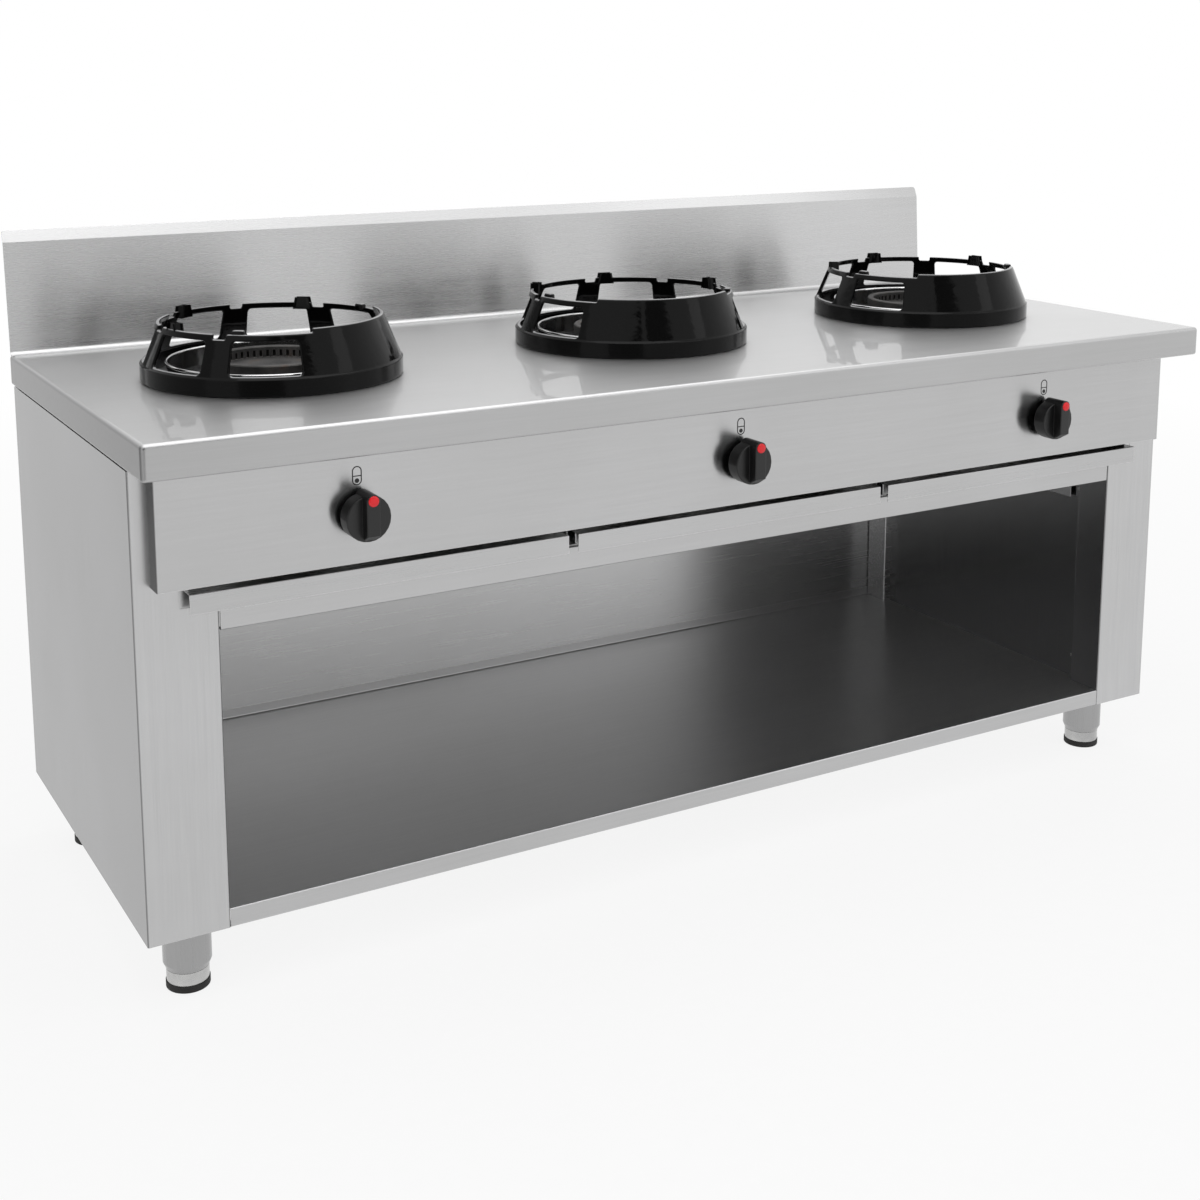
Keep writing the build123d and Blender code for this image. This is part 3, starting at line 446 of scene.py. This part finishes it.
def rounded(corners):
    """A closed outline through (x, y, radius) corners, each turned on its radius."""
    path = []
    count = len(corners)
    for i, (x, y, radius) in enumerate(corners):
        here = Vector((x, y))
        before = Vector(corners[i - 1][:2]) - here
        after = Vector(corners[(i + 1) % count][:2]) - here
        angle = before.angle(after)
        if radius <= 0 or angle > NEARLY_STRAIGHT:
            path.append(here)
            continue
        reach = min(radius / math.tan(angle / 2),
                    before.length * SHARE_OF_SIDE, after.length * SHARE_OF_SIDE)
        radius = reach * math.tan(angle / 2)
        one, two = before.normalized(), after.normalized()
        centre = here + (one + two).normalized() * (radius / math.sin(angle / 2))
        start, end = here + one * reach - centre, here + two * reach - centre
        turn = start.angle_signed(end)
        steps = max(3, round(abs(turn) / math.radians(CORNER_STEP)))
        for k in range(steps + 1):
            swing = -turn * k / steps
            path.append(centre + Vector((start.x * math.cos(swing) - start.y * math.sin(swing),
                                         start.x * math.sin(swing) + start.y * math.cos(swing))))
    return path


def plate(outlines, thickness, bevel, steps):
    """A flat plate in x and y with holes, its edges rounded all round, as a bmesh."""
    curve = bpy.data.curves.new("plate", "CURVE")
    curve.dimensions = "2D"
    curve.fill_mode = "BOTH"
    curve.extrude = thickness / 2 - bevel
    curve.bevel_depth = bevel
    curve.bevel_resolution = steps
    curve.offset = -bevel
    for outline in outlines:
        spline = curve.splines.new("POLY")
        spline.points.add(len(outline) - 1)
        for point, place in zip(spline.points, outline):
            point.co = (place[0], place[1], 0, 1)
        spline.use_cyclic_u = True
    holder = bpy.data.objects.new("plate", curve)
    scene.collection.objects.link(holder)
    bpy.context.view_layer.update()
    mesh = bpy.data.meshes.new_from_object(
        holder.evaluated_get(bpy.context.evaluated_depsgraph_get()))
    form = bmesh.new()
    form.from_mesh(mesh)
    bpy.data.objects.remove(holder)
    bpy.data.meshes.remove(mesh)
    bmesh.ops.remove_doubles(form, verts=form.verts, dist=WELD)
    return form


def cut(form, place, direction):
    """Part the form's faces on a plane, and keep both sides."""
    bmesh.ops.bisect_plane(form, geom=form.verts[:] + form.edges[:] + form.faces[:],
                           plane_co=place, plane_no=direction, dist=WELD)


def piece(name, form, finish, body, smooth=35.0):
    """The bmesh as an object of the scene, riding on a body of the frame; edges that turn
    more than smooth degrees stay sharp."""
    bmesh.ops.recalc_face_normals(form, faces=form.faces)
    mesh = bpy.data.meshes.new(name)
    form.to_mesh(mesh)
    form.free()
    mesh.materials.append(finish)
    made = bpy.data.objects.new(name, mesh)
    scene.collection.objects.link(made)
    mesh.polygons.foreach_set("use_smooth", [True] * len(mesh.polygons))
    mesh.set_sharp_from_angle(angle=math.radians(smooth))
    weighted = made.modifiers.new("weighted", "WEIGHTED_NORMAL")
    weighted.keep_sharp = True
    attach(made, body)
    return made


# ---------------------------------------------------------------- wok stands
# lengths in metres, angles in degrees round the ring
BASE_RADIUS, TOP_RADIUS = 0.187, 0.1635
BAND_HEIGHT, RAIL_HEIGHT, ARC_HEIGHT = 0.024, 0.082, 0.0875
STEP = 0.0025                                   # in and up, over the band
STEP_MARGIN = 0.001
WALL, WALL_BEVEL, WALL_SMOOTH = 0.006, 0.0022, 50.0
SECTOR, ARC = 45.0, 88.5
ARC_CORNER, ARC_FOOT_CORNER = 0.003, 0.004
WINDOWS = 6
WINDOW_LOW, WINDOW_HIGH, WINDOW_SPAN, WINDOW_CORNER = 0.028, 0.073, 31.5, 0.006
NOTCH_DEPTH, NOTCH_SPAN, NOTCH_RIM, NOTCH_CORNER = 0.007, 7.0, 0.0025, 0.003
LUG_ANGLES = (58.0, 98.0, 171.0, 238.0, 279.0)
LUG_LOW, LUG_HIGH, LUG_WIDTH, LUG_OUTER, LUG_DEPTH = 0.0755, 0.0875, 0.0165, 0.160, 0.010
LUG_FLARE, LUG_BEVEL = 1.3, 0.0030
STAND_TURNS = (-45.0, -95.5, -88.0)
UNROLLED = 0.175                                # the radius that the flat wall is drawn for
OVERLAP = 6.0                                   # drawn past both ends of the turn, and cut off
SLICE = 3.0                                     # between the cuts that let the wall bend
JUST_OFF = 1e-5


def stand_radius(height):
    """The ring's outer radius: an upright band, a step in, and a wall that leans in."""
    slope = (BASE_RADIUS - TOP_RADIUS) / (RAIL_HEIGHT - BAND_HEIGHT)
    if height <= BAND_HEIGHT:
        return BASE_RADIUS
    if height <= BAND_HEIGHT + STEP:
        return BASE_RADIUS - (height - BAND_HEIGHT)
    return BASE_RADIUS - STEP - slope * (height - BAND_HEIGHT - STEP)


def along(degrees):
    """An angle round the ring as a length of the unrolled wall."""
    return math.radians(degrees) * UNROLLED


def stand_outline():
    """The unrolled wall's outline: the arc at both ends, and the rail with its notches."""
    top = [(ARC / 2, ARC_HEIGHT, ARC_CORNER), (ARC / 2, RAIL_HEIGHT, ARC_FOOT_CORNER)]
    for i in range(WINDOWS - 1):
        start = SECTOR * (i + 2) - NOTCH_SPAN / 2
        end = SECTOR * (i + 2) + NOTCH_SPAN / 2
        foot = RAIL_HEIGHT - NOTCH_DEPTH
        top += [(start, RAIL_HEIGHT, NOTCH_RIM), (start, foot, NOTCH_CORNER),
                (end, foot, NOTCH_CORNER), (end, RAIL_HEIGHT, NOTCH_RIM)]
    top += [(360 - ARC / 2, RAIL_HEIGHT, ARC_FOOT_CORNER), (360 - ARC / 2, ARC_HEIGHT, ARC_CORNER)]
    first, last = along(-OVERLAP), along(360 + OVERLAP)
    return ([(last, 0.0, 0), (last, ARC_HEIGHT, 0)]
            + [(along(angle), height, radius) for angle, height, radius in reversed(top)]
            + [(first, ARC_HEIGHT, 0), (first, 0.0, 0)])


def window_outline(middle):
    """A window of the unrolled wall."""
    start, end = along(middle - WINDOW_SPAN / 2), along(middle + WINDOW_SPAN / 2)
    return [(start, WINDOW_LOW, WINDOW_CORNER), (end, WINDOW_LOW, WINDOW_CORNER),
            (end, WINDOW_HIGH, WINDOW_CORNER), (start, WINDOW_HIGH, WINDOW_CORNER)]


def add_lug(form, angle):
    """A raised lug on the wall's inner side, flared towards its foot."""
    place = (Matrix.Rotation(math.radians(angle), 4, "Z")
             @ Matrix.Translation((LUG_OUTER - LUG_DEPTH / 2, 0, (LUG_LOW + LUG_HIGH) / 2))
             @ Matrix.Diagonal((LUG_DEPTH, LUG_WIDTH, LUG_HIGH - LUG_LOW, 1)))
    corners = bmesh.ops.create_cube(form, size=1.0)["verts"]
    for corner in corners:
        corner.co.y *= 1.0 if corner.co.z > 0 else LUG_FLARE
        corner.co = place @ corner.co
    edges = list({edge for corner in corners for edge in corner.link_edges})
    bmesh.ops.bevel(form, geom=edges, offset=LUG_BEVEL, segments=3, profile=0.5,
                    affect="EDGES", clamp_overlap=True)


def make_stand(side, turn):
    """A wok stand: its wall is drawn flat, bent round into the ring, and given its lugs."""
    low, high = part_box(f"wok_stand_{side}")
    centre = (low + high) / 2
    windows = [window_outline(SECTOR * (1.5 + i)) for i in range(WINDOWS)]
    form = plate([rounded(outline) for outline in [stand_outline()] + windows],
                 WALL, WALL_BEVEL, steps=3)
    for i in range(round(360 / SLICE) + 1):
        cut(form, (along(SLICE * i), 0, 0), (1, 0, 0))
    for height in (BAND_HEIGHT - STEP_MARGIN, BAND_HEIGHT, BAND_HEIGHT + STEP / 2,
                   BAND_HEIGHT + STEP, BAND_HEIGHT + STEP + STEP_MARGIN):
        cut(form, (0, height, 0), (0, 1, 0))
    stray = [v for v in form.verts if v.co.x < -JUST_OFF or v.co.x > along(360) + JUST_OFF]
    bmesh.ops.delete(form, geom=stray, context="VERTS")
    for vert in form.verts:
        angle, height, depth = vert.co.x / UNROLLED, vert.co.y, vert.co.z
        radius = stand_radius(height) - WALL / 2 + depth
        vert.co = (radius * math.cos(angle), radius * math.sin(angle), height)
    bmesh.ops.remove_doubles(form, verts=form.verts, dist=BENT_WELD)
    for angle in LUG_ANGLES:
        add_lug(form, angle)
    form.transform(Matrix.Translation((centre.x, centre.y, low.z))
                   @ Matrix.Rotation(math.radians(turn), 4, "Z"))
    made = piece(f"stand_{side}", form, ENAMEL, f"stand_{side}", WALL_SMOOTH)
    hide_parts(f"wok_stand_{side}")


for side, turn in zip(SIDES, STAND_TURNS):
    make_stand(side, turn)


# ---------------------------------------------------------------- knobs
# heights along the grip bar are measured from the knob's centre
BAR_HALF, BAR_FOOT, BAR_RISE = 0.0093, -0.029, 0.016
BAR_SLOPE, BAR_BEND = -0.0195, 0.004            # where the bar slopes down, and its second cut
BAR_CORNER, BAR_FOOT_CORNER = 0.0088, 0.006
DISC_BEVEL, BAR_BEVEL, KNOB_SMOOTH = 0.0022, 0.0016, 40.0
DOT_DOME, DOT_RIM, DOT_SKIRT = 0.0021, 0.0004, 0.0009   # over the rim, over and under the bar
DOT_RINGS, DOT_AROUND = 7, 40


def face_front(form, x, y, z):
    """Stand a form that was drawn in x and y upright, its outer side to the front."""
    form.transform(Matrix.Translation((x, y, z)) @ Matrix.Rotation(math.radians(90), 4, "X"))


def make_knob(side):
    """A knob: a round disc, a grip bar across it that slopes down at its foot, and the dot."""
    low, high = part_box(f"knob_{side}")
    dot_low, dot_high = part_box(f"knob_dot_{side}")
    radius = (high.x - low.x) / 2
    x, z = (low.x + high.x) / 2, low.z + radius
    bar_top, depth = high.z - z, high.y - low.y
    disc = plate([rounded([(radius, radius, radius), (-radius, radius, radius),
                           (-radius, -radius, radius), (radius, -radius, radius)])],
                 depth - BAR_RISE, DISC_BEVEL, steps=3)
    face_front(disc, x, high.y - (depth - BAR_RISE) / 2, z)
    bar = plate([rounded([(BAR_HALF, bar_top, BAR_CORNER), (-BAR_HALF, bar_top, BAR_CORNER),
                          (-BAR_HALF, BAR_FOOT, BAR_FOOT_CORNER),
                          (BAR_HALF, BAR_FOOT, BAR_FOOT_CORNER)])],
                depth, BAR_BEVEL, steps=3)
    cut(bar, (0, BAR_SLOPE, 0), (0, 1, 0))
    cut(bar, (0, BAR_SLOPE - BAR_BEND, 0), (0, 1, 0))
    for vert in bar.verts:
        if vert.co.z > 0 and vert.co.y < BAR_SLOPE:
            vert.co.z -= BAR_RISE * min(1, (BAR_SLOPE - vert.co.y) / (BAR_SLOPE - BAR_FOOT))
    face_front(bar, x, (low.y + high.y) / 2, z)
    joined = bpy.data.meshes.new("bar")
    bar.to_mesh(joined)
    bar.free()
    disc.from_mesh(joined)
    bpy.data.meshes.remove(joined)
    made = piece(f"grip_{side}", disc, KNOB_BLACK, f"knob_{side}", KNOB_SMOOTH)
    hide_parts(f"knob_{side}")
    make_dot(side, Vector(((dot_low.x + dot_high.x) / 2, low.y, (dot_low.z + dot_high.z) / 2)),
             (dot_high.x - dot_low.x) / 2)


def make_dot(side, centre, radius):
    """A red lens that domes out of the bar."""
    form = bmesh.new()
    profile = [(radius, -DOT_SKIRT), (radius, DOT_RIM)]
    for k in range(1, DOT_RINGS):
        lean = math.radians(90 * k / DOT_RINGS)
        profile.append((radius * math.cos(lean), DOT_RIM + DOT_DOME * math.sin(lean)))
    turns = [2 * math.pi * i / DOT_AROUND for i in range(DOT_AROUND)]
    loops = [[form.verts.new((r * math.cos(turn), r * math.sin(turn), height)) for turn in turns]
             for r, height in profile]
    for one, two in zip(loops, loops[1:]):
        for i in range(DOT_AROUND):
            form.faces.new((one[i - 1], one[i], two[i], two[i - 1]))
    tip = form.verts.new((0, 0, DOT_RIM + DOT_DOME))
    for i in range(DOT_AROUND):
        form.faces.new((loops[-1][i - 1], loops[-1][i], tip))
    form.faces.new(reversed(loops[0]))
    face_front(form, *centre)
    made = piece(f"dot_{side}", form, DOT_RED, f"knob_{side}")
    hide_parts(f"knob_dot_{side}")


for side in SIDES:
    make_knob(side)


# ---------------------------------------------------------------- printed marks
# the mark is drawn about its own middle
MARK_LINE, MARK_HALF_WIDE, MARK_HALF_TALL = 0.0015, 0.0068, 0.0128
UPPER_FOOT, LOWER_TOP, PARTING_CORNER = 0.0003, -0.0011, 0.0006
SPOT_RADIUS, SPOT_HEIGHT, SPOT_STEP = 0.0031, -0.0066, 15
MARK_SHIFT, MARK_HEIGHT = -0.003, 0.6955        # beside the knob's middle, above the floor
INK_THICKNESS, INK_BEVEL, INK_SINK = 0.00024, 0.00004, 0.0001


def make_mark(side):
    """The printed mark over a knob: an upright capsule, parted, with a dot in its lower half."""
    low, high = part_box(f"knob_{side}")
    wide, tall, round_end = MARK_HALF_WIDE, MARK_HALF_TALL, MARK_HALF_WIDE
    capsule = rounded([(-wide, -tall, round_end), (wide, -tall, round_end),
                       (wide, tall, round_end), (-wide, tall, round_end)])
    inner, end = wide - MARK_LINE, tall - MARK_LINE
    upper = rounded([(-inner, UPPER_FOOT, PARTING_CORNER), (inner, UPPER_FOOT, PARTING_CORNER),
                     (inner, end, inner), (-inner, end, inner)])
    lower = rounded([(-inner, -end, inner), (inner, -end, inner),
                     (inner, LOWER_TOP, PARTING_CORNER), (-inner, LOWER_TOP, PARTING_CORNER)])
    spot = [(SPOT_RADIUS * math.cos(math.radians(turn)),
             SPOT_HEIGHT + SPOT_RADIUS * math.sin(math.radians(turn)))
            for turn in range(0, 360, SPOT_STEP)]
    form = plate([capsule, upper, lower, spot], INK_THICKNESS, INK_BEVEL, steps=1)
    panel_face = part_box("control_panel")[0].y
    face_front(form, (low.x + high.x) / 2 + MARK_SHIFT, panel_face - INK_SINK, MARK_HEIGHT)
    piece(f"mark_{side}", form, INK, "cabinet")


for side in SIDES:
    make_mark(side)


# ---------------------------------------------------------------- closing strips
NOTCH_WIDTH = 0.008                             # from the tray's end to the post's fold
STRIP_LAP, STRIP_RECESS, STRIP_SHEET = 0.0045, 0.0003, 0.001
STRIP_CORNER, STRIP_BEVEL = 0.001, 0.0001


def make_closing_strip(side, sign):
    """The narrow sheet that closes the post's notch beside the outer drip tray's lip."""
    panel_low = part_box("control_panel")[0]
    post_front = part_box(f"side_panel_{side}")[0].y
    tray_end = max(abs(corner.x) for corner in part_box(f"drip_tray_{side}"))
    notch_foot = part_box("front_rail")[1].z
    inner, outer = tray_end - STRIP_LAP, tray_end + NOTCH_WIDTH
    form = plate([rounded([(inner, notch_foot, 0), (outer, notch_foot, 0),
                           (outer, panel_low.z, 0), (inner, panel_low.z, STRIP_CORNER)])],
                 STRIP_SHEET, STRIP_BEVEL, steps=1)
    form.transform(Matrix.Diagonal((sign, 1, 1, 1)))
    face_front(form, 0, post_front + STRIP_RECESS + STRIP_SHEET / 2, 0)
    piece(f"closing_strip_{side}", form, SIDE_STEEL, "cabinet")


for side, sign in (("left", -1), ("right", 1)):
    make_closing_strip(side, sign)


# ---------------------------------------------------------------- floor, light and camera
FLOOR = 30                                      # metres out from the middle
GLOW_NEAR, GLOW_FAR = 0.86, 1.0                 # how much of the floor's white is its own
GLOW_FROM, GLOW_FULL = 1.2, 4.0                 # metres from the middle
AMBIENT = 0.5

floor_mesh = bpy.data.meshes.new("floor")
floor_mesh.from_pydata([(-FLOOR, -FLOOR, 0), (FLOOR, -FLOOR, 0), (FLOOR, FLOOR, 0),
                        (-FLOOR, FLOOR, 0)], [], [(0, 1, 2, 3)])
floor = bpy.data.objects.new("floor", floor_mesh)
scene.collection.objects.link(floor)


def seen_directly(tree):
    """1 for rays from the camera, and those that metal and glass send on."""
    path = add(tree, "ShaderNodeLightPath").outputs
    seen = maths(tree, "MAXIMUM", path["Is Camera Ray"], path["Is Glossy Ray"])
    return maths(tree, "MAXIMUM", seen, path["Is Transmission Ray"])


def blended(tree, factor, one, two, output):
    """The output's surface: shader one mixed with shader two."""
    blend = add(tree, "ShaderNodeMixShader")
    for source, target in zip((factor, one.outputs[0], two.outputs[0]), blend.inputs):
        link(tree, source, target)
    link(tree, blend.outputs[0], tree.nodes[output].inputs["Surface"])


made, tree, shader = material("floor_white")
coords = own_coords(tree)
grain = noise(tree, coords, 40.0, detail=3.0)
colour = shades(tree, grain, [(0.3, (0.78, 0.78, 0.78)), (0.7, (0.82, 0.82, 0.82))])
link(tree, colour, shader.inputs["Base Color"])
shader.inputs["Roughness"].default_value = 0.8
shader.inputs["Specular IOR Level"].default_value = 0.2
distance = vector_math(tree, "LENGTH", coords).outputs["Value"]
share = maths(tree, "MULTIPLY", seen_directly(tree),
              spread(tree, distance, GLOW_NEAR, GLOW_FAR, GLOW_FROM, GLOW_FULL))
blended(tree, share, shader, add(tree, "ShaderNodeEmission", Strength=1.0), "Material Output")
floor_mesh.materials.append(made)

world = bpy.data.worlds.new("studio")
scene.world = world
world.use_nodes = True
tree = world.node_tree
ambient = tree.nodes["Background"]
ambient.inputs["Color"].default_value = (AMBIENT, AMBIENT, AMBIENT, 1)
ambient.inputs["Strength"].default_value = 1.0
white = add(tree, "ShaderNodeBackground", Strength=1.0)
white.inputs["Color"].default_value = (1, 1, 1, 1)
blended(tree, seen_directly(tree), ambient, white, "World Output")


def card(name, start, end, low, high, shade):
    """A studio card that only reflections see, upright over a line on the floor."""
    mesh = bpy.data.meshes.new(name)
    mesh.from_pydata([(*start, low), (*end, low), (*end, high), (*start, high)], [], [(0, 1, 2, 3)])
    made, tree, shader = material(name)
    tree.nodes.remove(shader)
    glow = add(tree, "ShaderNodeEmission", Strength=shade)
    link(tree, glow.outputs[0], tree.nodes["Material Output"].inputs["Surface"])
    mesh.materials.append(made)
    made = bpy.data.objects.new(name, mesh)
    scene.collection.objects.link(made)
    made.visible_camera = made.visible_diffuse = made.visible_shadow = False


card("dark_card", start=(-4.2, -3.2), end=(-1.15, -3.2), low=0.05, high=3.2, shade=0.03)
card("front_card", start=(-1.1, -4.4), end=(3.6, -4.4), low=2.2, high=4.8, shade=0.16)
card("grey_card", start=(-3.2, 5.5), end=(-3.2, -0.6), low=0.02, high=3.0, shade=0.55)


def lamp(name, place, target, size, power, mirrored=True):
    """A rectangular studio lamp, aimed at the target; power in watts."""
    data = bpy.data.lights.new(name, "AREA")
    data.shape = "RECTANGLE"
    data.size, data.size_y = size
    data.energy = power
    made = bpy.data.objects.new(name, data)
    scene.collection.objects.link(made)
    made.location = place
    made.visible_glossy = mirrored
    made.rotation_euler = (Vector(target) - Vector(place)).to_track_quat("-Z", "Y").to_euler()


lamp("key", place=(2.1, -3.8, 3.4), target=(-0.2, 0, 0.6), size=(4.0, 3.0), power=32)
lamp("overhead", place=(0.05, -0.1, 3.3), target=(-0.2, 0.1, 0), size=(5.0, 2.6), power=52)
lamp("fill", place=(-2.9, -2.4, 2.2), target=(0, 0, 0.5), size=(2.0, 2.0), power=18,
     mirrored=False)
scene.view_settings.view_transform = "Standard"

# fitted to the photo with a small shift; lengths in the photo's pixels, angles in degrees
SENSOR = 36
FOCAL_LENGTH, PICTURE_SIZE = 1723.94, 1200
TILT_DOWN, HEADING = 9.5755, -30.151

camera_data = bpy.data.cameras.new("camera")
camera = bpy.data.objects.new("camera", camera_data)
scene.collection.objects.link(camera)
scene.camera = camera
camera_data.sensor_width = SENSOR
camera_data.lens = SENSOR * FOCAL_LENGTH / PICTURE_SIZE
camera_data.shift_y = -0.21
camera.location = (-1.4273, -2.3590, 1.2303)
camera.rotation_euler = (math.radians(90 - TILT_DOWN), 0, math.radians(HEADING))
